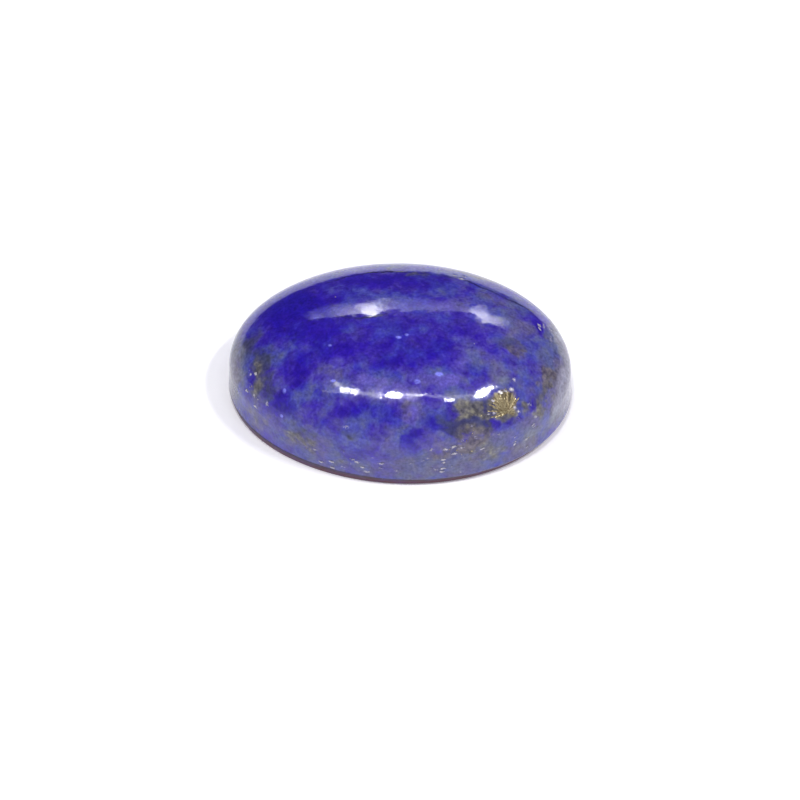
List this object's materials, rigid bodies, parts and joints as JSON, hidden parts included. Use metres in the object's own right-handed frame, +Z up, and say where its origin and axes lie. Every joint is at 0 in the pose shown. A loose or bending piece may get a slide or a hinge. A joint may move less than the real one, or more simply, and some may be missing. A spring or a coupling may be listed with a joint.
{
  "type": "lapis lazuli cabochon",
  "caption": "Oval lapis lazuli cabochon: a flat-backed stone with a low side wall and a smooth polished dome, violet-blue with grey and golden pyrite patches.",
  "frame": {"origin": "centre of the stone's box, on the surface that its flat back rests on", "axes": "+X along the oval's length towards its slightly fuller end, +Y across its width, +Z up through the top of the dome"},
  "size_m": [0.018, 0.013, 0.0056],
  "materials": {
    "lapis_lazuli": "polished"
  },
  "bodies": {
    "root": {"cabochon": "lapis_lazuli"}
  },
  "joints": []
}
